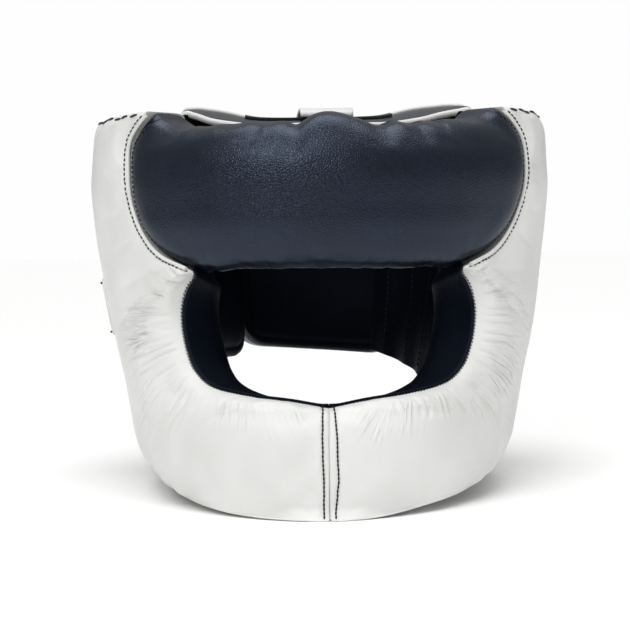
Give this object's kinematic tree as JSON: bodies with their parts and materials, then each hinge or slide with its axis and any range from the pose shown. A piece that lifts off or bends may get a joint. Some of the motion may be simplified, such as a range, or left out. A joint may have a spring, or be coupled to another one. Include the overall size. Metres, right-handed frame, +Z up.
{
  "type": "face saver boxing headgear",
  "caption": "Padded leather boxing headgear with a black forehead pad, white sides and cheeks, a thick bar in front of the face, and an open hollow for the head.",
  "frame": {"origin": "middle of the overall width and depth, on the surface that the base rests on", "axes": "+Z up, the face opening looks along -Y, +X is the right side as seen from the front"},
  "size_m": [0.2558, 0.2855, 0.2125],
  "materials": {
    "white_leather": "smooth pearl white",
    "black_leather": "pebbled satin black",
    "black_lining": "soft matt black",
    "loop_fabric": "black loop pile"
  },
  "bodies": {
    "root": {"forehead_pad": "black_leather", "forehead_welt_left": "white_leather", "forehead_welt_right": "white_leather", "side_wrap_left": "white_leather", "side_wrap_right": "white_leather", "side_lining_left": "black_lining", "side_lining_right": "black_lining", "ear_panel_left": "white_leather", "ear_panel_right": "white_leather", "ear_lining_left": "black_lining", "ear_lining_right": "black_lining", "back_panel": "black_leather", "back_gusset": "black_lining", "back_strap": "white_leather", "crown_flap_left": "black_leather", "crown_flap_right": "black_leather", "crown_piping_left": "white_leather", "crown_piping_right": "white_leather", "loop_patch_left": "loop_fabric", "loop_patch_right": "loop_fabric", "crown_strap": "white_leather"}
  },
  "joints": []
}
